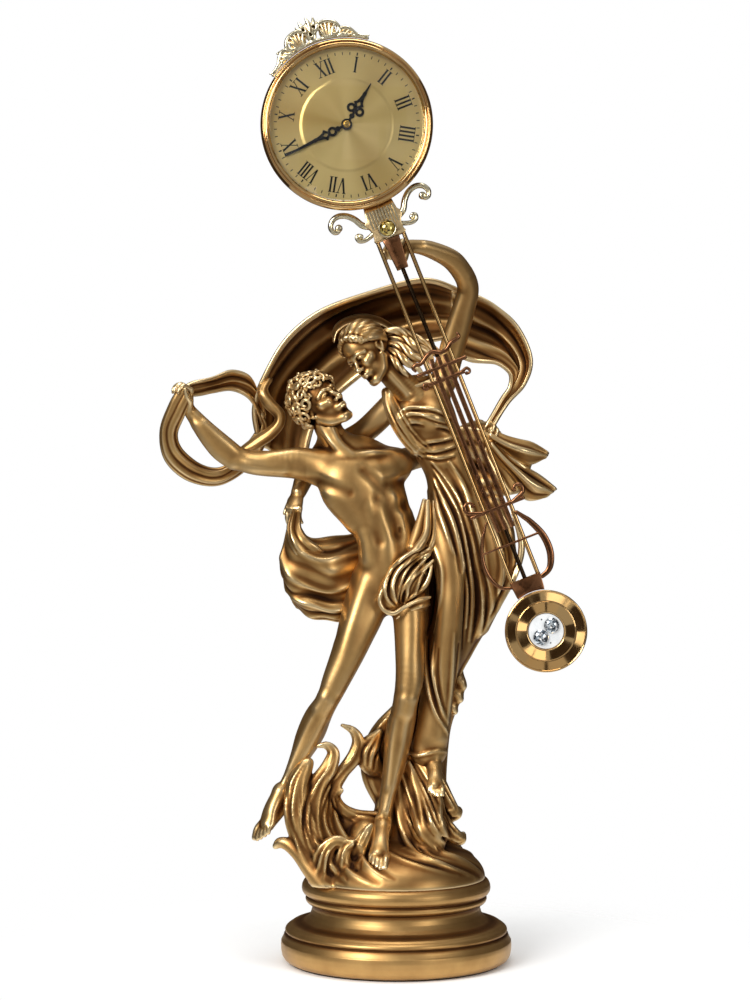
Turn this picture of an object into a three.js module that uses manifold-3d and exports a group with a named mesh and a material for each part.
// Figural swinging clock: a cast dancing couple on a turned plinth, and a clock-headed lyre
// pendulum that hangs on a steel pin in the woman's raised hand.
// Millimetres, +Z up, the front faces -Y. The origin is the centre of the plinth's underside.

import * as THREE from "three";
import { mergeVertices } from "three/addons/utils/BufferGeometryUtils.js";
import Module from "manifold-3d";

const wasm = await Module();
wasm.setup();

// Clearances
const GAP = 0.3; // between pieces that are glued, seated or slid together
const RUNNING = 0.35; // round a turning shaft
const EPS = 0.5; // how far a cutting tool runs past the face that it opens

// Plinth
const FELT_THICKNESS = 1.5;
const FOOT_RADIUS = 103.5;
const FOOT_HEIGHT = 26;
const FOOT_UNDERCUT = 6; // how much narrower the foot is where it meets the felt
const STEP_INSET = 8;
const STEP_HEIGHT = 10;
const NECK_INSET = 30;
const COVE_HEIGHT = 19;
const RIM_INSET = 19;
const RIM_HEIGHT = 19;
const PLINTH_WALL = 10;
const PLINTH_SEGMENTS = 32;
const PLATE_THICKNESS = 4;
const PLATE_RECESS = 12; // from the felt up to the base plate, room for the nut
const BALLAST_HEIGHT = 24;
const BALLAST_RADIUS = 56;
const TIE_RADIUS = 4;
const TIE_BITE = 22; // length of the tie rod inside the rock
const NUT_HEIGHT = 6;
const NUT_ACROSS_FLATS = 14;

const plinthTop = FELT_THICKNESS + FOOT_HEIGHT + STEP_HEIGHT + COVE_HEIGHT + RIM_HEIGHT;
const plateTop = FELT_THICKNESS + PLATE_RECESS + PLATE_THICKNESS;
const footBottomRadius = FOOT_RADIUS - FOOT_UNDERCUT;
const stepRadius = FOOT_RADIUS - STEP_INSET;
const neckRadius = FOOT_RADIUS - NECK_INSET;
const rimRadius = FOOT_RADIUS - RIM_INSET;

// Pendulum, measured from its pivot along its own axis
const PIVOT_X = -1.5;
const PIVOT_Y = -85;
const PIVOT_HEIGHT = 555; // above the plinth's top
const FIGURE_HEIGHT = 560; // the figures, from the plinth's top to the raised wrist
const SWING_DEG = 21.5; // how far the stored pose leans, with the bob to the right
const HEAD_RISE = 114; // pivot to the centre of the dial
const BOB_DROP = 354; // pivot to the centre of the bob
const PIN_RADIUS = 2;
const PIN_LENGTH = 30;
const BUSH_WALL = 1.7;
const BUSH_LENGTH = 8;

// Clock head, along its own axis, which is parallel to Y and positive to the back
const CASE_RADIUS = 70;
const CASE_WALL = 2.5;
const CASE_FRONT = -9;
const CASE_BACK = 20;
const DIAL_THICKNESS = 0.8;
const DIAL_LEDGE = 6.5;
const LEDGE_THICKNESS = 2;
const BEZEL_OVERHANG = 4;
const BEZEL_DEPTH = 8;
const LENS_INSET = 7.5; // case to the edge of what shows of the lens
const LENS_THICKNESS = 1.4;
const LENS_DOME = 4.5;
const COVER_THICKNESS = 1.5;
const HEAD_SEGMENTS = 30;
const CREST_HEIGHT = 22;
const CREST_HALF_ANGLE_DEG = 38;
const CREST_THICKNESS = 5;

// Quartz movement
const MOVEMENT_WIDTH = 56;
const MOVEMENT_TOP = 22; // above the hand shaft
const MOVEMENT_BOTTOM = 34; // below the hand shaft
const MOVEMENT_DEPTH = 17.5;
const MOVEMENT_WALL = 1.2;
const CELL_RADIUS = 7.1;
const CELL_LENGTH = 49;
const GEAR_MODULE = 0.5;
const GEAR_WIDTH = 1.5;
const CANNON_TEETH = 10;
const MINUTE_WHEEL_TEETH = 30;
const MINUTE_PINION_TEETH = 8;
const HOUR_WHEEL_TEETH = 32;
const ARBOR_RADIUS = 1.4;
const PIPE_WALL = 0.8;
const SHAFT_RADIUS = 1.5;
const KNOB_RADIUS = 6;
const KNOB_HEIGHT = 4;

// Hands, stored at sixteen minutes to two
const HOUR_HAND_LENGTH = 41;
const MINUTE_HAND_LENGTH = 58;
const HAND_THICKNESS = 0.8;
const HAND_HUB_RADIUS = 4.6;
const HOUR_HAND_DEG = 52;
const MINUTE_HAND_DEG = 264;

// Collar, rods and lyre
const COLLAR_WIDTH = 30;
const COLLAR_THICKNESS = 8;
const COLLAR_BOTTOM = 10.5;
const COLLAR_TOP = 30;
const JEWEL_RADIUS = 6.5;
const JEWEL_HEIGHT = 19;
const NECK_TOP_WIDTH = 15;
const NECK_BOTTOM_WIDTH = 10;
const NECK_LENGTH = 28;
const NECK_THICKNESS = 10;
const ROD_RADIUS = 1.5;
const ROD_SPACING = 12;
const ROD_SOCKET = 5; // how far a rod's end goes into its block
const LYRE_TOP = 96;
const GRID_WIDTH = 4.2;
const GRID_SPACING = 6.4;
const GRID_THICKNESS = 2;
const GRID_LENGTH = 160;
const LOOP_OVERLAP = 11; // how far the loop's ends reach up past the foot of the gridiron
const LOOP_HALF_WIDTH = 29;
const LOOP_BAR_DROP = 24; // from the loop's ends down to its cross bar
const YOKE_WIDTH = 28;
const YOKE_RISE = 13.5; // the yoke's top above the bob's rim
const YOKE_THICKNESS = 10;

// Bob
const BOB_RADIUS = 35.5;
const BOB_WALL = 1.5;
const BOB_BACK = 10;
const BOB_FRONT = -9;
const BOB_STEP_RADIUS = 25;
const BOB_DISC_RADIUS = 15.3;
const GEM_RADIUS = 5.4;
const GEM_OFFSET = 6.2;
const COIL_RADIUS = 9;
const DRIVE_CELL_RADIUS = 5.2;
const DRIVE_CELL_LENGTH = 44;

// Finishes
const finish = (color, roughness, metalness) =>
  new THREE.MeshStandardMaterial({ color, roughness, metalness });
const bronze = finish(0xa57c3c, 0.38, 0.75);
const gold = finish(0xdcab62, 0.18, 1);
const steel = finish(0xb9bcc0, 0.3, 1);
const brass = finish(0xc9a24e, 0.3, 1);
const blackEnamel = finish(0x14110f, 0.4, 0.2);
const champagne = finish(0xc6a765, 0.45, 0.6);
const clear = finish(0xeef2f2, 0.05, 0);
const felt = finish(0x3a2f28, 0.95, 0);
const iron = finish(0x4a4a4a, 0.7, 0.6);
const board = finish(0x8a6b48, 0.8, 0);
const plastic = finish(0x1d1d1f, 0.5, 0);
const nylon = finish(0xe8e4da, 0.5, 0);
const white = finish(0xf1f1ee, 0.35, 0.1);
const citrine = finish(0xa98a3a, 0.08, 0);
const copper = finish(0xb06a3a, 0.35, 0.9);

// Solids and meshes

const V = (x, y, z) => new THREE.Vector3(x, y, z);
const radians = THREE.MathUtils.degToRad;

// A closed geometry as a solid, its faces turned outwards.
function solidOf(geometry) {
  const bare = geometry.index ? geometry.toNonIndexed() : geometry.clone();
  bare.deleteAttribute("normal");
  bare.deleteAttribute("uv");
  const merged = mergeVertices(bare, 1e-4);
  const make = (triVerts) =>
    new wasm.Manifold(
      new wasm.Mesh({ numProp: 3, vertProperties: merged.attributes.position.array, triVerts }),
    );
  const triVerts = new Uint32Array(merged.index.array);
  const made = make(triVerts);
  return made.volume() > 0 ? made : make(triVerts.map((_, i) => triVerts[i - (i % 3) + 2 - (i % 3)]));
}

function geometryOf(solid) {
  const mesh = solid.getMesh();
  const geometry = new THREE.BufferGeometry();
  geometry.setAttribute("position", new THREE.BufferAttribute(mesh.vertProperties, 3));
  geometry.setIndex(new THREE.BufferAttribute(mesh.triVerts, 1));
  geometry.computeVertexNormals();
  return geometry;
}

const join = (...solids) => solids.reduce((whole, solid) => whole.add(solid));
const cut = (solid, ...tools) => tools.reduce((whole, tool) => whole.subtract(tool), solid);
const largest = (solid) => solid.decompose().reduce((a, b) => (b.volume() > a.volume() ? b : a));

// A solid carried to another place.
const moved = (solid, x, y, z) => solidOf(geometryOf(solid).translate(x, y, z));

function addMesh(group, name, solid, material) {
  const mesh = new THREE.Mesh(geometryOf(solid), material);
  mesh.name = name;
  group.add(mesh);
}

// A profile of [radius, height] points turned about the Z axis, or about Y where lying is set.
function turned(profile, segments, lying = false) {
  const points = profile.map(([r, h]) => new THREE.Vector2(Math.max(r, 0), h));
  const geometry = new THREE.LatheGeometry(points, segments);
  return solidOf(lying ? geometry : geometry.rotateX(Math.PI / 2));
}

const closed = (profile) => [...profile, profile[0]];

// A disc, or a tube where bore is set, from one height to another on the turning axis.
function disc(radius, from, to, { bore = 0, segments = 24, lying = false } = {}) {
  const profile = [[bore, from], [radius, from], [radius, to], [bore, to]];
  return turned(bore ? closed(profile) : profile, segments, lying);
}

function box(width, depth, height, x, y, z) {
  return solidOf(new THREE.BoxGeometry(width, depth, height).translate(x, y, z));
}

// An outline drawn in X and Z, as thick as from front (towards -Y) to back.
function plate(shape, front, back, curveSegments = 6) {
  const geometry = new THREE.ExtrudeGeometry(shape, {
    depth: back - front,
    bevelEnabled: false,
    curveSegments,
  });
  return solidOf(geometry.rotateX(Math.PI / 2).translate(0, back, 0));
}

function polygon(points) {
  return new THREE.Shape(points.map(([x, z]) => new THREE.Vector2(x, z)));
}

// Rings of equal length joined into a closed skin. Each end is closed by a fan, or where the
// rings are folded flat, by strips from one half of the ring to the other.
function skin(rings, folded = false, size = 1) {
  const count = rings[0].length;
  const middle = (ring) => ring.reduce((sum, p) => sum.add(p), V(0, 0, 0)).divideScalar(count);
  const points = [...rings.flat(), middle(rings[0]), middle(rings[rings.length - 1])];
  const [startFan, endFan] = [points.length - 2, points.length - 1];
  const lastRow = (rings.length - 1) * count;
  const index = [];
  for (let i = 0; i < count; i++) {
    const j = (i + 1) % count;
    for (let row = 0; row < lastRow; row += count) {
      index.push(row + i, row + j, row + count + j, row + i, row + count + j, row + count + i);
    }
    if (!folded) index.push(startFan, j, i, endFan, lastRow + i, lastRow + j);
  }
  for (let i = 0; folded && i < count / 2 - 1; i++) {
    const [near, far] = [count - 1 - i, count - 2 - i];
    index.push(i, near, i + 1, i + 1, near, far);
    index.push(lastRow + i, lastRow + i + 1, lastRow + near, lastRow + i + 1, lastRow + far, lastRow + near);
  }
  const geometry = new THREE.BufferGeometry().setFromPoints(points);
  return solidOf(geometry.setIndex(index).scale(size, size, size));
}

const spline = (points) => new THREE.CatmullRomCurve3(points.map((p) => V(...p)), false, "catmullrom");

// The parts of a casting are functions of how much thicker than life they are made, so that the
// same part can be cast and can also cut its neighbours back by a clearance, and of their size
// against the drawn one.

// A limb: an oval section swept along a path. girth gives [half width, half depth] at each
// point of the path, and facing is the way that the depth is measured.
const limb = (path, girth, { facing = [0, -1, 0], sides = 8, steps = 1, round = [1, 1] } = {}) =>
  (swell = 0, size = 1) => {
    const line = spline(path);
    const ovals = spline(girth.map((g) => (Array.isArray(g) ? [g[0], g[1], 0] : [g, g, 0])));
    const count = (path.length - 1) * steps;
    const rings = [];
    const ring = (t, shift, share) => {
      const along = line.getTangent(t);
      const front = V(...facing).addScaledVector(along, -along.dot(V(...facing))).normalize();
      const side = along.clone().cross(front);
      const oval = ovals.getPoint(t);
      const centre = line.getPoint(t).addScaledVector(along, shift * (Math.min(oval.x, oval.y) + swell));
      rings.push(
        Array.from({ length: sides }, (_, i) => {
          const angle = (2 * Math.PI * i) / sides;
          return centre
            .clone()
            .addScaledVector(side, share * (oval.x + swell) * Math.cos(angle))
            .addScaledVector(front, share * (oval.y + swell) * Math.sin(angle));
        }),
      );
    };
    const dome = [[0.8, 0.6], [0.4, 0.9]]; // from the tip inwards
    if (round[0]) dome.forEach(([shift, share]) => ring(0, -shift, share));
    for (let i = 0; i <= count; i++) ring(i / count, 0, 1);
    if (round[1]) dome.toReversed().forEach(([shift, share]) => ring(1, shift, share));
    return skin(rings, false, size);
  };

// A ball stretched to three radii: across the face, front to back and up, turned to look ahead.
const ball = (centre, radii, { ahead = [0, -1, 0], up = [0, 0, 1], detail = 8 } = {}) =>
  (swell = 0, size = 1) => {
    const back = V(...ahead).normalize().negate();
    const right = V(...up).cross(back).negate().normalize();
    const top = back.clone().cross(right).negate();
    const turn = new THREE.Matrix4().makeBasis(right, back, top).setPosition(...centre);
    const [x, y, z] = radii.map((r) => r + swell);
    const sphere = new THREE.SphereGeometry(1, detail, detail - 2).scale(x, y, z).applyMatrix4(turn);
    return solidOf(sphere.scale(size, size, size));
  };

// A cloth: rails that run side by side along it, spanned by a smooth sheet of one thickness.
const cloth = (rails, thickness, { along = 2, across = 3, folds = 0, depth = 0 } = {}) =>
  (swell = 0, size = 1) => {
    const curves = rails.map(spline);
    const rows = (rails[0].length - 1) * along;
    const columns = (rails.length - 1) * across;
    const grid = Array.from({ length: rows + 1 }, (_, i) => {
      const section = new THREE.CatmullRomCurve3(curves.map((c) => c.getPoint(i / rows)), false, "catmullrom");
      return Array.from({ length: columns + 1 }, (_, j) => section.getPoint(j / columns));
    });
    const normal = (i, j) => {
      const down = grid[Math.min(i + 1, rows)][j].clone().sub(grid[Math.max(i - 1, 0)][j]);
      const over = grid[i][Math.min(j + 1, columns)].clone().sub(grid[i][Math.max(j - 1, 0)]);
      return down.cross(over).normalize();
    };
    const overrun = (i, j) => {
      const inner = grid[Math.min(Math.max(i, 1), rows - 1)][j];
      return grid[i][j].clone().sub(inner).setLength(i % rows ? 0 : swell);
    };
    const rings = grid.map((row, i) => {
      const first = row[0].clone().sub(row[1]).setLength(swell);
      const last = row[columns].clone().sub(row[columns - 1]).setLength(swell);
      const face = (side) =>
        row.map((p, j) => {
          const wave = depth * Math.cos((2 * Math.PI * folds * j) / columns);
          const moved = p.clone().addScaledVector(normal(i, j), side * (thickness / 2 + swell) + wave);
          if (j === 0) moved.add(first);
          if (j === columns) moved.add(last);
          return moved.add(overrun(i, j));
        });
      return [...face(1), ...face(-1).reverse()];
    });
    return skin(rings, true, size);
  };

// The castings' points are drawn for figures 560 mm high.
const figure = FIGURE_HEIGHT / 560;
const casting = (parts, swell = 0) => join(...parts.map((part) => part(swell / figure, figure)));

// A point of the raised hand, measured from the pivot.
const grip = (x, y, z) => [PIVOT_X / figure + x, PIVOT_Y / figure + y, PIVOT_HEIGHT / figure + z];

// Plinth and what holds it together

function plinthSolid() {
  const outline = new THREE.Path();
  const footTop = FELT_THICKNESS + FOOT_HEIGHT;
  const stepTop = footTop + STEP_HEIGHT;
  const coveTop = stepTop + COVE_HEIGHT;
  const ledgeInset = 3; // flat land on top of the foot, and of the step
  outline.moveTo(footBottomRadius, FELT_THICKNESS);
  outline.bezierCurveTo(
    FOOT_RADIUS, FELT_THICKNESS + FOOT_HEIGHT * 0.2,
    FOOT_RADIUS + 1, footTop - FOOT_HEIGHT * 0.2,
    stepRadius + ledgeInset, footTop,
  );
  outline.lineTo(stepRadius, footTop + 1);
  outline.quadraticCurveTo(stepRadius + 2, stepTop - 2, stepRadius - ledgeInset, stepTop);
  outline.bezierCurveTo(
    stepRadius - ledgeInset, stepTop + COVE_HEIGHT * 0.5,
    neckRadius, stepTop + COVE_HEIGHT * 0.5,
    neckRadius, coveTop,
  );
  outline.bezierCurveTo(
    rimRadius + 3, coveTop,
    rimRadius + 3, plinthTop - 3,
    rimRadius - ledgeInset, plinthTop,
  );
  const outside = outline.getPoints(4).map((p) => [p.x, p.y]);
  const cavity = BALLAST_RADIUS + GAP;
  const plateSeat = footBottomRadius - PLINTH_WALL;
  const ballastTop = plateTop + BALLAST_HEIGHT + GAP;
  const inside = [
    [TIE_RADIUS + GAP, plinthTop],
    [TIE_RADIUS + GAP, ballastTop],
    [cavity, ballastTop],
    [cavity, plateTop],
    [plateSeat, plateTop],
    [plateSeat, FELT_THICKNESS],
  ];
  return turned(closed([...outside, ...inside]), PLINTH_SEGMENTS);
}

function nutSolid() {
  const corner = NUT_ACROSS_FLATS / Math.sqrt(3);
  const top = plateTop - PLATE_THICKNESS - GAP;
  const bore = disc(TIE_RADIUS + GAP, top - NUT_HEIGHT - EPS, top + EPS, { segments: 12 });
  return cut(disc(corner, top - NUT_HEIGHT, top, { segments: 6 }), bore);
}

function buildPlinth() {
  const group = new THREE.Group();
  const hole = { bore: TIE_RADIUS + GAP, segments: PLINTH_SEGMENTS };
  const plateRadius = footBottomRadius - PLINTH_WALL - GAP;
  const ballastBottom = plateTop + GAP;
  const tieBottom = plateTop - PLATE_THICKNESS - NUT_HEIGHT - 2 * GAP;
  addMesh(group, "felt_pad", disc(footBottomRadius - 2, 0, FELT_THICKNESS, { segments: PLINTH_SEGMENTS }), felt);
  addMesh(group, "base_plinth", plinthSolid(), bronze);
  addMesh(group, "base_plate", disc(plateRadius, plateTop - PLATE_THICKNESS, plateTop - GAP, hole), board);
  addMesh(group, "ballast_weight", disc(BALLAST_RADIUS, ballastBottom, plateTop + BALLAST_HEIGHT, hole), iron);
  addMesh(group, "tie_rod", disc(TIE_RADIUS, tieBottom, plinthTop + TIE_BITE, { segments: 12 }), steel);
  addMesh(group, "tie_nut", nutSolid(), steel);
  return group;
}

// Statue: castings that are glued up one after the other, each trimmed back from those before it.
// Every point is measured from the centre of the plinth's top.

const UP = [0, 0, 1];

const mound = [[77, 0.3], [75, 7], [62, 15], [40, 24], [16, 30], [0, 31]];
const rock = [
  (swell, size) => turned([[0, GAP], ...mound.map(([r, z]) => [r * size, z * size])], 24),
  limb(
    [[14, 2, 8], [14, 4, 40], [16, 6, 70], [26, 10, 100], [40, 14, 140], [49, 17, 178]],
    [[44, 32], [38, 27], [32, 22], [22, 16], [14, 12], [8, 8]],
    { sides: 10 },
  ),
  limb([[-57, -46, 4], [-83, -42, 29], [-95, -38, 58], [-92, -32, 84], [-78, -26, 106]], [13, [11, 9], 10, 7, 2]),
  limb([[-50, -38, 10], [-73, -33, 45], [-71, -28, 80], [-57, -24, 102], [-58, -22, 116], [-70, -22, 119]], [14, 12, 9, 7, 5, 2]),
  limb([[-39, -28, 12], [-57, -22, 53], [-56, -17, 84], [-42, -10, 104], [-33, -8, 118], [-36, -8, 129], [-49, -8, 136]], [16, 12, 8, 6, 6, 5, 2]),
  limb([[2, 8, 60], [-17, 8, 90], [-18, 8, 114], [-11, 10, 132], [-2, 12, 148]], [16, [12, 11], 11, 9, 4]),
  limb([[-66, -26, 8], [-86, -20, 24], [-97, -15, 30], [-109, -12, 29]], [[12, 9], [9, 7], 6, 2.5]),
  limb([[-8, -8, 48], [-34, -16, 54], [-47, -18, 64], [-51, -18, 75]], [11, 8, 6, 3]),
  limb([[5, -18, 88], [17, -32, 54], [40, -36, 30], [67, -28, 10]], [6, 8, 9, 6]),
  limb([[0, -22, 72], [8, -40, 41], [24, -48, 24], [56, -46, 9]], [6, 8, 9, 6]),
  limb([[28, -18, 50], [44, -14, 58], [56, -8, 58]], [12, 9, 4]),
  limb([[-62, -52, 4], [-60, -52, 30], [-50, -50, 39], [-38, -50, 28]], [9, 8, 6, 4]),
];

const manBody = [
  limb(
    [[-4, -3, 260], [-6, -5, 284], [-9, -6, 308], [-21, -8, 335], [-31, -8, 358], [-38, -5, 374], [-46, -4, 384]],
    [[26, 19], [29, 21], [26, 18], [31, 21], [36, 23], [30, 18], [12, 11]],
    { sides: 10 },
  ),
  limb([[-46, -4, 378], [-57, -6, 396], [-63, -8, 406]], [[12, 11], 10.5, 10.5]),
  ball([1, 2, 371], [14, 14, 14]),
  ball([-64, -6, 366], [14, 14, 14]),
  ball([6, 10, 264], [18, 16, 18]),
  limb(
    [[8, -4, 262], [11, -12, 214], [9, -21, 156], [6, -12, 124], [-3, -16, 84], [-12, -24, 44]],
    [[17, 18], [15, 16], [11.5, 12.5], [11.5, 13], [8, 9], [5.5, 6.5]],
  ),
  limb([[-11, -18, 38], [-14, -36, 33], [-18, -56, 22]], [[6, 6.5], [8, 6], [8.5, 3.5]], { facing: UP }),
];

const manRightLeg = [
  limb(
    [[-20, -4, 262], [-36, -14, 222], [-48, -20, 190], [-59, -22, 164], [-74, -15, 130], [-88, -18, 104], [-102, -23, 78]],
    [[17, 18], [16, 17], [13, 14], [10.5, 11.5], [10.5, 12], [8, 9], [5.5, 6]],
  ),
  limb([[-101, -19, 73], [-110, -30, 61], [-121, -38, 46]], [[6, 6.5], [7, 6], [7, 3.5]], { facing: UP }),
];

const manHead = [
  ball([-69, -8, 428], [20, 25, 27], { ahead: [0.85, -0.35, 0.4], up: [-0.4, 0, 0.9] }),
  ball([-56, -13, 412], [13, 15, 14], { ahead: [0.85, -0.35, 0.4], up: [-0.4, 0, 0.9] }),
  limb([[-48, -20, 432], [-42, -19, 424]], [2.5, 4], { sides: 6 }),
  ball([-78, -4, 431], [23, 22, 24], { ahead: [0.85, -0.35, 0.4], up: [-0.4, 0, 0.9] }),
];

const manRightArm = [
  limb(
    [[-60, -6, 366], [-90, -8, 370], [-118, -12, 372], [-147, -15, 377], [-166, -20, 396], [-184, -25, 418]],
    [13, 12.5, 11, [9.5, 10], 9.5, [6, 5.5]],
  ),
  limb([[-183, -25, 416], [-187, -27, 428], [-186, -28, 437]], [[7, 5], [8, 6], [6, 5]]),
];

const womanGown = [
  limb(
    [
      [32, -4, 114], [39, -2, 159], [45, 1, 190], [54, 3, 213], [60, 5, 240], [63, 7, 268], [60, 7, 303],
      [54, 7, 339], [46, 8, 366], [36, 6, 392], [24, 4, 416], [15, 8, 433], [7, 8, 443],
    ],
    [
      [17, 15], [17, 16], [19, 18], [25, 22], [30, 25], [32, 27], [31, 26],
      [27, 22], [23, 18], [27, 20], [32, 21], [26, 14], [10, 9],
    ],
    { sides: 10 },
  ),
  limb([[66, 8, 356], [82, 10, 306], [86, 10, 264], [80, 8, 236], [68, 6, 214]], [9, 13, 13, 11, 6]),
  ball([12, -13, 414], [12, 11, 12]),
  ball([34, -12, 417], [12, 11, 12]),
  ball([42, 10, 446], [12, 12, 12]),
  ball([-4, 12, 428], [11, 11, 11]),
  limb([[33, -8, 122], [33, -12, 96]], [7.5, 6]),
  limb([[33, -10, 93], [34, -22, 89], [35, -36, 84]], [[6, 6], [6.5, 5], [6.5, 3.5]], { facing: UP }),
];

const womanHead = [
  limb([[6, 8, 438], [-6, 3, 452], [-16, 0, 464]], [9, 8, 9]),
  ball([-26, -3, 475], [19, 24, 25], { ahead: [-0.6, -0.55, -0.58], up: [-0.6, -0.1, 0.79] }),
  ball([-32, -12, 460], [12, 13, 13], { ahead: [-0.6, -0.55, -0.58], up: [-0.6, -0.1, 0.79] }),
  limb([[-44, -22, 470], [-47, -23, 463]], [2, 3.5], { sides: 6 }),
  ball([-19, 6, 481], [19, 20, 19], { ahead: [-0.6, -0.55, -0.58], up: [-0.6, -0.1, 0.79] }),
  limb([[-6, 10, 486], [12, 18, 480], [28, 18, 470], [40, 18, 458]], [11, 9, 8, 5]),
];

const womanRaisedArm = [
  limb(
    [
      [43, 10, 446], [52, 6, 478], [60, -2, 508], grip(65.5, 75, -23), grip(51.5, 59, -5), grip(31.5, 43, 4),
      grip(15.5, 31, 6), grip(3.5, 23, 3),
    ],
    [12, 11, 11, 10.5, [9, 9.5], 7.5, [6.5, 6], [7, 6.5]],
  ),
  ball(grip(0.5, 22, 0), [8, 7, 11]),
  limb([grip(-3.5, 22, 5), grip(-8.5, 15, -2), grip(-7.5, 14, -14)], [4, 3.6, 2.8]),
];

const manLeftArm = [
  limb([[2, 6, 371], [12, 34, 376], [40, 46, 384], [68, 44, 396], [84, 30, 403]], [12, 11, 10, 8, [7, 6]]),
  limb([[82, 32, 403], [88, 20, 405], [84, 12, 400]], [[8, 9], [7, 10], [5, 9]]),
];

const womanLoweredArm = [
  limb([[-6, 14, 427], [-34, 34, 404], [-60, 42, 382], [-84, 24, 352], [-94, 8, 330]], [10, 9.5, 9, 7.5, [6, 5.5]]),
  limb([[-93, 9, 332], [-97, 1, 322], [-96, -4, 313]], [[6, 5.5], [7, 5], [5, 4]]),
];

const loincloth = [
  limb([[20, -22, 342], [23, -27, 322], [23, -30, 302], [14, -33, 288]], [[3, 4], 4, 4.5, 5]),
  limb([[16, -30, 290], [0, -36, 274], [-6, -36, 260], [6, -33, 250], [22, -26, 258]], [7, 9, 7, 6, 6]),
  ball([10, -24, 270], [18, 13, 18]),
];

const veilLeft = [
  cloth(
    [
      [[-126, 24, 396], [-127, 18, 430], [-116, 15, 462], [-92, 12, 489], [-63, 10, 511]],
      [[-120, 50, 388], [-116, 56, 424], [-102, 60, 452], [-78, 62, 476], [-52, 62, 493]],
      [[-90, 56, 368], [-86, 62, 400], [-74, 66, 424], [-57, 67, 442], [-36, 66, 458]],
    ],
    5,
  ),
];

const veilTop = [
  cloth(
    [
      [[-63, 10, 511], [-20, 8, 529], [24, 8, 536], [50, 10, 531]],
      [[-52, 62, 493], [-14, 60, 508], [22, 54, 514], [50, 36, 514]],
      [[-36, 66, 458], [-6, 62, 476], [24, 54, 488], [50, 34, 496]],
    ],
    5,
  ),
];

const veilSwirl = [
  cloth(
    [
      [[58, 14, 526], [84, 18, 519], [108, 22, 501], [122, 24, 468], [116, 26, 444], [100, 28, 426], [90, 28, 416]],
      [[60, 6, 508], [84, 8, 502], [104, 10, 484], [114, 12, 462], [110, 14, 442], [97, 18, 427], [88, 22, 418]],
      [[62, 20, 488], [82, 24, 484], [98, 26, 474], [106, 28, 460], [102, 28, 444], [93, 28, 432], [85, 28, 421]],
    ],
    5,
  ),
];

const ribbonUpper = [
  cloth(
    [
      [[-182, -28, 438], [-160, -12, 447], [-138, 4, 452], [-124, 22, 446]],
      [[-182, -24, 427], [-158, -8, 435], [-138, 10, 437], [-124, 27, 428]],
    ],
    5,
  ),
];

const ribbonLower = [
  cloth(
    [
      [[-188, -32, 432], [-208, -26, 404], [-206, -14, 374], [-182, 4, 356], [-146, 20, 360], [-114, 34, 392]],
      [[-181, -32, 424], [-196, -22, 402], [-194, -10, 380], [-176, 8, 368], [-146, 22, 374], [-118, 32, 406]],
    ],
    5,
  ),
];

const clothSwag = [
  cloth(
    [
      [[-95, -4, 322], [-80, -4, 309], [-62, 0, 304], [-36, 8, 312]],
      [[-98, -2, 296], [-82, -14, 284], [-60, -14, 280], [-34, 4, 288]],
      [[-96, 0, 262], [-80, -14, 252], [-58, -12, 248], [-36, 4, 262]],
      [[-84, 4, 238], [-72, 0, 233], [-54, 2, 231], [-36, 8, 242]],
    ],
    7,
  ),
];

const veilTail = [
  limb([[84, 20, 398], [108, 20, 388], [138, 19, 379]], [[7, 6], [9, 5], [2, 2]]),
  limb([[84, 20, 392], [110, 20, 374], [134, 18, 353]], [[9, 6], [14, 8], [10, 5]]),
  limb([[92, 20, 380], [104, 20, 358], [116, 18, 345]], [[9, 6], [10, 6], [6, 4]]),
];

const pivotPoint = [PIVOT_X, PIVOT_Y, PIVOT_HEIGHT];
const pinBack = PIVOT_Y + PIN_LENGTH - BUSH_LENGTH / 2;

// A round bar parallel to Y through the pivot, from one place in Y to another.
function pivotBar(radius, from, to, bore = 0) {
  return moved(disc(radius, from, to, { bore, segments: 24, lying: true }), PIVOT_X, 0, PIVOT_HEIGHT);
}

const SOCKET_RADIUS = 6;
const SOCKET_THICKNESS = 3;
const SOCKET_STAND_OFF = 12; // pendulum's middle plane to the socket's front face

function buildStatue() {
  const group = new THREE.Group();
  group.position.z = plinthTop;
  const glued = [];
  const glue = (name, parts, ...cutters) => {
    let solid = casting(parts);
    for (const before of glued) solid = cut(solid, before);
    solid = largest(cut(solid, ...cutters));
    glued.push(join(casting(parts), casting(parts, GAP)));
    addMesh(group, name, solid, bronze);
  };
  const underside = box(400, 400, 40, 0, 0, GAP - 20);
  const tieHole = disc(TIE_RADIUS + GAP, -EPS, TIE_BITE + GAP, { segments: 12 });
  const socketFront = PIVOT_Y + SOCKET_STAND_OFF;
  const socketRoom = pivotBar(SOCKET_RADIUS + GAP, socketFront - EPS, socketFront + SOCKET_THICKNESS + GAP);
  const pinRoom = pivotBar(PIN_RADIUS + GAP, socketFront, pinBack + GAP);

  glue("rock_mound", rock, underside, tieHole);
  glue("man_body", manBody);
  glue("man_right_leg", manRightLeg);
  glue("man_head", manHead);
  glue("woman_gown", womanGown);
  glue("woman_head", womanHead);
  glue("man_right_arm", manRightArm);
  glue("woman_raised_arm", womanRaisedArm, socketRoom, pinRoom);
  glue("man_left_arm", manLeftArm);
  glue("woman_lowered_arm", womanLoweredArm);
  glue("loincloth", loincloth);
  glue("veil_left", veilLeft);
  glue("veil_top", veilTop);
  glue("veil_swirl", veilSwirl);
  glue("veil_ribbon_upper", ribbonUpper);
  glue("veil_ribbon_lower", ribbonLower);
  glue("cloth_swag", clothSwag);
  glue("veil_tail", veilTail);

  const socketBack = socketFront + SOCKET_THICKNESS;
  addMesh(group, "pivot_socket", pivotBar(SOCKET_RADIUS, socketFront, socketBack, PIN_RADIUS + GAP), brass);
  addMesh(group, "pivot_pin", pivotBar(PIN_RADIUS, PIVOT_Y - BUSH_LENGTH / 2 + 1, pinBack), steel);
  return group;
}

// Clock head

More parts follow.
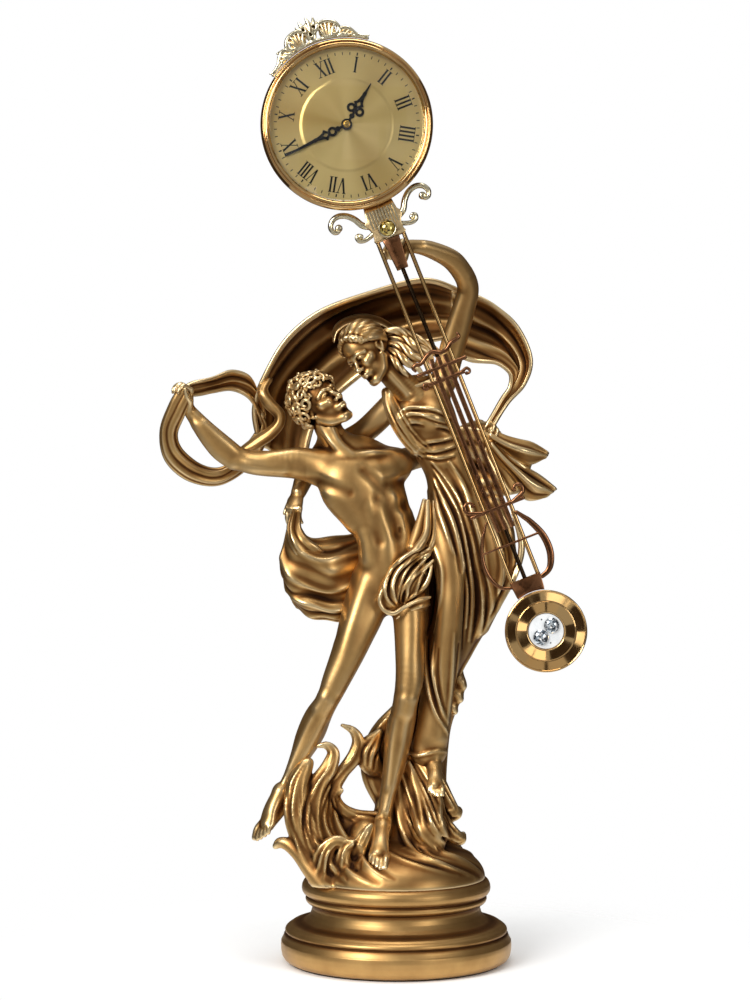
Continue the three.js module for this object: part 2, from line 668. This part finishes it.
const dialFront = CASE_FRONT + LEDGE_THICKNESS - DIAL_THICKNESS - GAP;
const dialBack = dialFront + DIAL_THICKNESS;
const caseInner = CASE_RADIUS - CASE_WALL;
const bezelRadius = CASE_RADIUS + BEZEL_OVERHANG;
const lensOpening = CASE_RADIUS - LENS_INSET;
const bezelBack = CASE_FRONT - GAP;
const bezelFront = bezelBack - BEZEL_DEPTH;
const lensSeat = bezelFront + BEZEL_DEPTH * 0.4;
const pipeRadius = ARBOR_RADIUS + RUNNING + PIPE_WALL;
const movementFront = dialBack + GAP;
const movementBack = movementFront + MOVEMENT_DEPTH;

const headTurned = (profile) => turned(profile, HEAD_SEGMENTS, true);

function caseSolid() {
  const ledge = CASE_FRONT + LEDGE_THICKNESS;
  const ledgeInner = caseInner - DIAL_LEDGE;
  return headTurned(closed([
    [caseInner, CASE_FRONT],
    [CASE_RADIUS, CASE_FRONT],
    [CASE_RADIUS, CASE_BACK],
    [caseInner, CASE_BACK],
    [caseInner, ledge + LEDGE_THICKNESS],
    [ledgeInner, ledge + LEDGE_THICKNESS],
    [ledgeInner, ledge],
    [caseInner, ledge],
  ]));
}

function bezelSolid() {
  const seatRadius = lensOpening + 3.5;
  const roll = BEZEL_DEPTH / 2;
  return headTurned(closed([
    [seatRadius, bezelBack],
    [bezelRadius - 1, bezelBack],
    [bezelRadius, bezelBack - roll * 0.4],
    [bezelRadius - 0.6, bezelBack - roll * 1.1],
    [bezelRadius - 3, bezelFront],
    [lensOpening + 2.5, bezelFront],
    [lensOpening, lensSeat - 1],
    [lensOpening, lensSeat],
    [seatRadius, lensSeat],
  ]));
}

function lensSolid() {
  const flange = lensOpening + 3.2;
  const domeEdge = lensOpening - 0.5;
  const front = lensSeat + GAP;
  const height = (r) => LENS_DOME * (1 - (r / domeEdge) ** 2);
  const radii = [0, 0.4, 0.75, 1].map((share) => share * domeEdge);
  const outer = radii.map((r) => [r, front - height(r)]);
  const inner = radii.map((r) => [r, front + LENS_THICKNESS - height(r)]).reverse();
  return headTurned([...outer, [flange, front], [flange, front + LENS_THICKNESS], ...inner]);
}

// Leaf crest: lobes that rise to a plume in the middle, seated on the bezel's rim.
function crestSolid() {
  const seat = bezelRadius + GAP;
  const half = radians(CREST_HALF_ANGLE_DEG);
  const points = [];
  const count = 28;
  const edge = (angle, radius) => points.push([radius * Math.sin(angle), radius * Math.cos(angle)]);
  for (let i = 0; i <= count; i++) {
    const share = (2 * i) / count - 1;
    const plume = Math.max(0, 1 - Math.abs(share)) ** 1.6;
    const lobes = 0.16 * Math.abs(Math.sin(3.5 * Math.PI * share));
    edge(share * half, seat + 2 + CREST_HEIGHT * (plume * 0.85 + lobes * (1 - share * share)));
  }
  for (let i = count; i >= 0; i -= 4) edge(((2 * i) / count - 1) * half, seat);
  const middle = (bezelFront + bezelBack) / 2;
  return cut(
    plate(polygon(points), middle - CREST_THICKNESS / 2, middle + CREST_THICKNESS / 2),
    disc(seat, bezelFront, bezelBack, { segments: HEAD_SEGMENTS, lying: true }),
  );
}

// Quartz movement and hands

// A spur gear lying on the hand axis; phase turns its first tooth from +X, in teeth.
function gear(teeth, from, to, phase = 0) {
  const pitch = (teeth * GEAR_MODULE) / 2;
  const [root, tip] = [pitch - 1.2 * GEAR_MODULE, pitch + 0.75 * GEAR_MODULE];
  const step = (2 * Math.PI) / teeth;
  const flank = [[root, -0.27], [tip, -0.09], [tip, 0.09], [root, 0.27]];
  const points = Array.from({ length: teeth }, (_, i) =>
    flank.map(([r, share]) => {
      const angle = (i + phase + share) * step;
      return [r * Math.cos(angle), r * Math.sin(angle)];
    }),
  ).flat();
  return plate(polygon(points), from, to);
}

const gearCentre = ((CANNON_TEETH + MINUTE_WHEEL_TEETH) * GEAR_MODULE) / 2;
const frontLayer = movementFront + MOVEMENT_WALL + 1;
const rearLayer = frontLayer + GEAR_WIDTH + 0.7;
const handGap = 1.2; // between dial and hour hand, and between the two hands
const hourHandBack = dialFront - handGap;
const hourHandFront = hourHandBack - HAND_THICKNESS;
const minuteHandBack = hourHandFront - handGap;
const minuteHandFront = minuteHandBack - HAND_THICKNESS;
const coverFront = movementBack + GAP;
const shaftBack = coverFront + COVER_THICKNESS + RUNNING + KNOB_HEIGHT;

const round = (radius, from, to, bore = 0) => disc(radius, from, to, { bore, segments: 12, lying: true });

function movementHousing() {
  const height = MOVEMENT_TOP + MOVEMENT_BOTTOM;
  const middle = (MOVEMENT_TOP - MOVEMENT_BOTTOM) / 2;
  const depth = movementBack - movementFront;
  const shell = box(MOVEMENT_WIDTH, depth, height, 0, movementFront + depth / 2, middle);
  const pocket = box(
    MOVEMENT_WIDTH - 2 * MOVEMENT_WALL, depth, height - 2 * MOVEMENT_WALL,
    0, movementFront + depth / 2 + MOVEMENT_WALL, middle,
  );
  const pipeHole = round(pipeRadius + RUNNING, movementFront - EPS, movementFront + MOVEMENT_WALL + EPS);
  return cut(shell, pocket, pipeHole);
}

function movementCover() {
  const height = MOVEMENT_TOP + MOVEMENT_BOTTOM;
  const middle = (MOVEMENT_TOP - MOVEMENT_BOTTOM) / 2;
  const back = coverFront + COVER_THICKNESS;
  const shaftHole = moved(round(SHAFT_RADIUS + RUNNING, coverFront - EPS, back + EPS), gearCentre, 0, 0);
  return cut(box(MOVEMENT_WIDTH, COVER_THICKNESS, height, 0, (coverFront + back) / 2, middle), shaftHole);
}

function movementCell() {
  const low = -MOVEMENT_BOTTOM + MOVEMENT_WALL + GAP + CELL_RADIUS;
  const cell = new THREE.CylinderGeometry(CELL_RADIUS, CELL_RADIUS, CELL_LENGTH, 16).rotateZ(Math.PI / 2);
  const front = movementFront + MOVEMENT_WALL + GAP + CELL_RADIUS;
  return solidOf(cell.translate(0, front, low));
}

function minuteArbor() {
  const shaft = round(ARBOR_RADIUS, minuteHandFront - 1.2, rearLayer + GEAR_WIDTH + 3);
  return join(shaft, gear(CANNON_TEETH, rearLayer, rearLayer + GEAR_WIDTH));
}

function hourWheel() {
  const bore = ARBOR_RADIUS + RUNNING;
  const wheel = gear(HOUR_WHEEL_TEETH, frontLayer, frontLayer + GEAR_WIDTH, 0.5);
  const pipe = round(pipeRadius, hourHandFront - 0.4, frontLayer + 0.2);
  return cut(join(wheel, pipe), round(bore, hourHandFront - 1, frontLayer + GEAR_WIDTH + EPS));
}

function minuteWheel() {
  const pinion = gear(MINUTE_PINION_TEETH, frontLayer, rearLayer + 0.2);
  const wheel = gear(MINUTE_WHEEL_TEETH, rearLayer, rearLayer + GEAR_WIDTH, 0.5);
  const shaft = round(SHAFT_RADIUS, rearLayer, shaftBack);
  return join(...[pinion, wheel, shaft].map((solid) => moved(solid, gearCentre, 0, 0)));
}

function settingKnob() {
  const from = shaftBack - KNOB_HEIGHT;
  const knob = disc(KNOB_RADIUS, from, shaftBack, { bore: SHAFT_RADIUS + GAP, segments: 16, lying: true });
  return moved(knob, gearCentre, 0, 0);
}

// A pierced hand that points up: hub, waist, two side loops, an upper loop and a tapered blade.
function handSolid(length, bore, front) {
  const back = front + HAND_THICKNESS;
  const ring = (radius, x, z) => moved(round(radius, front, back, radius * 0.52), x, 0, z);
  const loopRadius = length * 0.062;
  const loops = length * 0.34;
  const blade = polygon([
    [-length * 0.05, loops + 2.3 * loopRadius],
    [length * 0.05, loops + 2.3 * loopRadius],
    [0.5, length * 0.78],
    [0.35, length],
    [-0.35, length],
    [-0.5, length * 0.78],
  ]);
  const waist = polygon([[-1, HAND_HUB_RADIUS - 1], [1, HAND_HUB_RADIUS - 1], [0.8, loops], [-0.8, loops]]);
  return cut(
    join(
      round(HAND_HUB_RADIUS, front, back),
      plate(waist, front, back),
      ring(loopRadius, -loopRadius * 0.85, loops),
      ring(loopRadius, loopRadius * 0.85, loops),
      ring(loopRadius, 0, loops + 1.6 * loopRadius),
      plate(blade, front, back),
    ),
    round(bore, front - EPS, back + EPS),
  );
}

function handAt(degrees, solid) {
  const turn = new THREE.Matrix4().makeRotationY(radians(degrees));
  return solidOf(geometryOf(solid).applyMatrix4(turn));
}

function buildHead() {
  const group = new THREE.Group();
  group.position.z = HEAD_RISE;
  const dialHole = pipeRadius + RUNNING + 0.2;
  const coverBack = CASE_BACK - 1;
  const dialSolid = disc(caseInner - GAP, dialFront, dialBack, {
    bore: dialHole, segments: HEAD_SEGMENTS, lying: true,
  });
  const backCover = disc(caseInner - GAP, coverBack - COVER_THICKNESS, coverBack, {
    segments: HEAD_SEGMENTS, lying: true,
  });
  const hourHand = handSolid(HOUR_HAND_LENGTH, pipeRadius + GAP, hourHandFront);
  const minuteHand = handSolid(MINUTE_HAND_LENGTH, ARBOR_RADIUS + GAP, minuteHandFront);
  const nutBack = minuteHandFront - GAP;
  const nut = turned(
    closed([[ARBOR_RADIUS + GAP, nutBack], [3.2, nutBack], [2.6, nutBack - 1.2], [ARBOR_RADIUS + GAP, nutBack - 1.6]]),
    16,
    true,
  );
  addMesh(group, "head_case", caseSolid(), gold);
  addMesh(group, "head_back_cover", backCover, gold);
  addMesh(group, "bezel", bezelSolid(), gold);
  addMesh(group, "lens", lensSolid(), clear);
  addMesh(group, "dial", dialSolid, champagne);
  addMesh(group, "crest", crestSolid(), gold);
  addMesh(group, "movement_housing", movementHousing(), plastic);
  addMesh(group, "movement_cover", movementCover(), plastic);
  addMesh(group, "movement_cell", movementCell(), copper);
  addMesh(group, "minute_arbor", minuteArbor(), brass);
  addMesh(group, "minute_hand", handAt(MINUTE_HAND_DEG, minuteHand), blackEnamel);
  addMesh(group, "hand_nut", nut, gold);
  addMesh(group, "hour_wheel", hourWheel(), nylon);
  addMesh(group, "hour_hand", handAt(HOUR_HAND_DEG, hourHand), blackEnamel);
  addMesh(group, "minute_wheel", minuteWheel(), nylon);
  addMesh(group, "setting_knob", settingKnob(), plastic);
  return group;
}

// Collar, neck, rods, lyre and bob, in the pendulum's own frame

// A bar that ends in a curl: an arc wound inwards, drawn in X and Z.
function scroll(start, bend, centre, radius, turns, thickness) {
  const path = [start, bend];
  const first = Math.atan2(bend[2] - centre[2], bend[0] - centre[0]);
  const count = 6;
  for (let i = 1; i <= count; i++) {
    const angle = first + (2 * Math.PI * turns * i) / count;
    const reach = radius * (1 - (0.4 * i) / count);
    path.push([centre[0] + reach * Math.cos(angle), centre[1], centre[2] + reach * Math.sin(angle)]);
  }
  const girth = path.map((_, i) => thickness * (1 - (0.35 * i) / path.length));
  return limb(path, girth, { sides: 6 })();
}

function collarSolid() {
  const half = COLLAR_WIDTH / 2;
  const caseBottom = HEAD_RISE - CASE_RADIUS;
  const outline = polygon([
    [-half + 1, COLLAR_BOTTOM], [half - 1, COLLAR_BOTTOM], [half + 2, COLLAR_TOP - 6],
    [half + 1, COLLAR_TOP], [half - 4, caseBottom + 4], [4 - half, caseBottom + 4],
    [-half - 1, COLLAR_TOP], [-half - 2, COLLAR_TOP - 6],
  ]);
  const front = -COLLAR_THICKNESS / 2;
  const ribs = [-12, -9, 9, 12].map((x) => box(1.2, 1.2, COLLAR_TOP - COLLAR_BOTTOM - 3, x, front, (COLLAR_TOP + COLLAR_BOTTOM) / 2));
  const large = [-1, 1].map((s) =>
    scroll([s * half, 0, COLLAR_TOP + 2], [s * (half + 14), 0, COLLAR_TOP + 9], [s * (half + 21), 0, COLLAR_TOP + 3], 8, s * -0.75, 2.6),
  );
  const small = [-1, 1].map((s) =>
    scroll([s * (half - 1), 0, COLLAR_BOTTOM + 6], [s * (half + 7), 0, COLLAR_BOTTOM + 5], [s * (half + 8), 0, COLLAR_BOTTOM + 9], 4, s * 0.7, 2),
  );
  const rodHoles = [-1, 1].map((s) =>
    moved(disc(ROD_RADIUS + GAP, COLLAR_BOTTOM - EPS, COLLAR_BOTTOM + ROD_SOCKET + GAP, { segments: 12 }), s * ROD_SPACING, 0, 0),
  );
  const wide = { segments: HEAD_SEGMENTS, lying: true };
  const headRoom = moved(disc(CASE_RADIUS + GAP, -COLLAR_THICKNESS, COLLAR_THICKNESS, wide), 0, 0, HEAD_RISE);
  const bezelRoom = moved(disc(bezelRadius + GAP, bezelFront - 1, bezelBack + GAP, wide), 0, 0, HEAD_RISE);
  const jewelSeat = moved(round(JEWEL_RADIUS + 1.5, front - 2, front + 0.5), 0, 0, JEWEL_HEIGHT);
  const jewelRoom = moved(round(JEWEL_RADIUS + GAP, front - 3, front - 0.5), 0, 0, JEWEL_HEIGHT);
  const whole = join(plate(outline, front, -front), ...ribs, ...large, ...small, jewelSeat);
  return largest(cut(whole, ...rodHoles, headRoom, bezelRoom, jewelRoom));
}

// A cut stone that faces -Y: a table, a crown of facets and a girdle.
function stone(radius, back, facets) {
  return turned(
    [[0, back - radius * 0.62], [radius * 0.55, back - radius * 0.62], [radius, back - radius * 0.25], [radius, back], [0, back]],
    facets,
    true,
  );
}

function neckSolid() {
  const top = COLLAR_BOTTOM - GAP;
  const half = NECK_THICKNESS / 2;
  const outline = polygon([
    [-NECK_TOP_WIDTH / 2, top],
    [-NECK_BOTTOM_WIDTH / 2, top - NECK_LENGTH],
    [NECK_BOTTOM_WIDTH / 2, top - NECK_LENGTH],
    [NECK_TOP_WIDTH / 2, top],
  ]);
  const bushRoom = round(PIN_RADIUS + RUNNING + BUSH_WALL + GAP, half - BUSH_LENGTH - GAP, half + EPS);
  const rodRoom = disc(ROD_RADIUS + GAP, top - NECK_LENGTH - EPS, top - NECK_LENGTH + ROD_SOCKET + GAP, { segments: 12 });
  return cut(plate(outline, -half, half), bushRoom, rodRoom);
}

function rodSolid(x, top) {
  const bottom = yokeTop - ROD_SOCKET;
  return moved(disc(ROD_RADIUS, bottom, top, { segments: 12 }), x, 0, 0);
}

const gridBack = -ROD_RADIUS - GAP;
const gridFront = gridBack - GRID_THICKNESS;
const gridMiddle = (gridFront + gridBack) / 2;
const gridTop = -LYRE_TOP - 4;
const loopTop = gridTop - GRID_LENGTH + LOOP_OVERLAP;
const yokeTop = -BOB_DROP + BOB_RADIUS + YOKE_RISE;

function lyreTopBar() {
  const wave = [
    [-23, -2.5], [-20, -5], [-15, -4], [-9, 0.5], [-3, 1.6], [3, -1.6], [9, -0.5], [15, 4], [20, 5], [23, 2.5],
  ].map(([x, z]) => [x, gridMiddle, z - LYRE_TOP]);
  return limb(wave, wave.map(() => [1.5, GRID_THICKNESS / 2]), { sides: 6 })();
}

function gridironSolid() {
  const bars = [-1, 0, 1].map((i) =>
    box(GRID_WIDTH, GRID_THICKNESS, GRID_LENGTH, i * GRID_SPACING, gridMiddle, gridTop - GRID_LENGTH / 2),
  );
  const tie = (half, z) => box(2 * half, GRID_THICKNESS, 2.4, 0, gridMiddle, z);
  const lowerTie = gridTop - GRID_LENGTH + 20;
  const hooks = [-1, 1].map((s) =>
    scroll([s * 16, gridMiddle, lowerTie], [s * 24, gridMiddle, lowerTie + 4], [s * 22, gridMiddle, lowerTie + 9], 5, s * 0.7, 1.5),
  );
  const topHooks = [-1, 1].map((s) =>
    scroll([s * 14, gridMiddle, gridTop - 20], [s * 19, gridMiddle, gridTop - 18], [s * 19, gridMiddle, gridTop - 21], 2.6, s * -0.6, 1.2),
  );
  return join(...bars, tie(22, gridTop - 9), tie(16, gridTop - 20), tie(24, lowerTie), ...hooks, ...topHooks);
}

function lyreLoop() {
  const band = (s) => {
    const foot = yokeTop - 4;
    const point = (x, share) => [s * x, gridMiddle, loopTop + (foot - loopTop) * share];
    const path = [
      point(LOOP_HALF_WIDTH * 0.48, 0), point(LOOP_HALF_WIDTH * 0.76, 0.2), point(LOOP_HALF_WIDTH, 0.57),
      point(LOOP_HALF_WIDTH * 0.86, 0.87), point(YOKE_WIDTH / 2 + 2, 1),
    ];
    return limb(path, path.map(() => [2.2, GRID_THICKNESS / 2]), { sides: 8, round: [1, 0] })();
  };
  const bar = box(2 * LOOP_HALF_WIDTH - 4, GRID_THICKNESS, 2, 0, gridMiddle, loopTop - LOOP_BAR_DROP);
  return join(band(-1), band(1), bar);
}

function yokeSolid() {
  const half = YOKE_WIDTH / 2;
  const bottom = -BOB_DROP + BOB_RADIUS - 6;
  const outline = polygon([[-half, yokeTop], [-half + 2, bottom], [half - 2, bottom], [half, yokeTop]]);
  const rodHoles = [-1, 0, 1].map((i) =>
    moved(disc(ROD_RADIUS + GAP, yokeTop - ROD_SOCKET - GAP, yokeTop + EPS, { segments: 12 }), i * ROD_SPACING, 0, 0),
  );
  const wide = { segments: HEAD_SEGMENTS, lying: true };
  const bobRoom = moved(disc(BOB_RADIUS + GAP, -YOKE_THICKNESS, YOKE_THICKNESS, wide), 0, 0, -BOB_DROP);
  return cut(plate(outline, -YOKE_THICKNESS / 2, YOKE_THICKNESS / 2), ...rodHoles, bobRoom);
}

const bobSeat = -5; // where the bob's ring meets its shell
const discFront = BOB_FRONT + 1.5;

function bobShell() {
  const inner = BOB_RADIUS - 1 - BOB_WALL;
  return headTurned([
    [0, BOB_BACK], [BOB_RADIUS - 6, BOB_BACK], [BOB_RADIUS - 1, BOB_BACK - 5], [BOB_RADIUS - 1, bobSeat + GAP],
    [inner, bobSeat + GAP], [inner, BOB_BACK - 6], [BOB_RADIUS - 7, BOB_BACK - BOB_WALL], [0, BOB_BACK - BOB_WALL],
  ]);
}

function bobRing() {
  const bore = BOB_DISC_RADIUS + GAP;
  return headTurned(closed([
    [bore, bobSeat], [BOB_RADIUS, bobSeat], [BOB_RADIUS, BOB_FRONT + 1], [BOB_RADIUS - 1.2, BOB_FRONT + 0.4],
    [BOB_RADIUS - 2.4, BOB_FRONT + 1.6], [BOB_STEP_RADIUS + 1, BOB_FRONT + 2.6], [BOB_STEP_RADIUS, BOB_FRONT + 1],
    [BOB_STEP_RADIUS - 1, BOB_FRONT], [bore + 1, BOB_FRONT + 1.2], [bore, BOB_FRONT + 1.8],
  ]));
}

function buildBob() {
  const group = new THREE.Group();
  group.position.z = -BOB_DROP;
  const gem = stone(GEM_RADIUS, discFront - GAP, 8);
  const gems = [-1, 1].map((s) => moved(gem, s * GEM_OFFSET, 0, s * GEM_OFFSET * 0.5));
  const inside = BOB_BACK - BOB_WALL - GAP;
  const coil = moved(disc(COIL_RADIUS, inside - 6, inside, { bore: 3, segments: 20, lying: true }), 0, 0, 14);
  const cell = new THREE.CylinderGeometry(DRIVE_CELL_RADIUS, DRIVE_CELL_RADIUS, DRIVE_CELL_LENGTH, 12);
  addMesh(group, "bob_shell", bobShell(), gold);
  addMesh(group, "bob_ring", bobRing(), gold);
  addMesh(group, "bob_disc", disc(BOB_DISC_RADIUS, discFront, bobSeat, { segments: HEAD_SEGMENTS, lying: true }), white);
  addMesh(group, "bob_gem_left", gems[0], clear);
  addMesh(group, "bob_gem_right", gems[1], clear);
  addMesh(group, "drive_coil", coil, copper);
  addMesh(group, "drive_cell", solidOf(cell.rotateZ(Math.PI / 2).translate(0, inside - DRIVE_CELL_RADIUS, -10)), copper);
  return group;
}

function buildPendulum() {
  const group = new THREE.Group();
  group.position.set(PIVOT_X, PIVOT_Y, plinthTop + PIVOT_HEIGHT);
  group.rotation.y = radians(-SWING_DEG);
  const neckHalf = NECK_THICKNESS / 2;
  const collarRodTop = COLLAR_BOTTOM + ROD_SOCKET;
  const neckRodTop = COLLAR_BOTTOM - GAP - NECK_LENGTH + ROD_SOCKET;
  const bushRadius = PIN_RADIUS + RUNNING + BUSH_WALL;
  const bush = round(bushRadius, neckHalf - BUSH_LENGTH, neckHalf, PIN_RADIUS + RUNNING);
  const jewel = moved(stone(JEWEL_RADIUS, -COLLAR_THICKNESS / 2 - 0.5 - GAP, 8), 0, 0, JEWEL_HEIGHT);
  addMesh(group, "collar_bracket", collarSolid(), gold);
  addMesh(group, "jewel", jewel, citrine);
  addMesh(group, "neck_block", neckSolid(), gold);
  addMesh(group, "pivot_bush", bush, brass);
  addMesh(group, "rod_left", rodSolid(-ROD_SPACING, collarRodTop), gold);
  addMesh(group, "rod_centre", rodSolid(0, neckRodTop), steel);
  addMesh(group, "rod_right", rodSolid(ROD_SPACING, collarRodTop), gold);
  addMesh(group, "lyre_top_bar", lyreTopBar(), gold);
  addMesh(group, "gridiron", gridironSolid(), gold);
  addMesh(group, "lyre_loop", lyreLoop(), gold);
  addMesh(group, "bob_yoke", yokeSolid(), gold);
  group.add(buildHead(), buildBob());
  return group;
}

const clock = new THREE.Group();
clock.add(buildPlinth(), buildStatue(), buildPendulum());

export default clock;
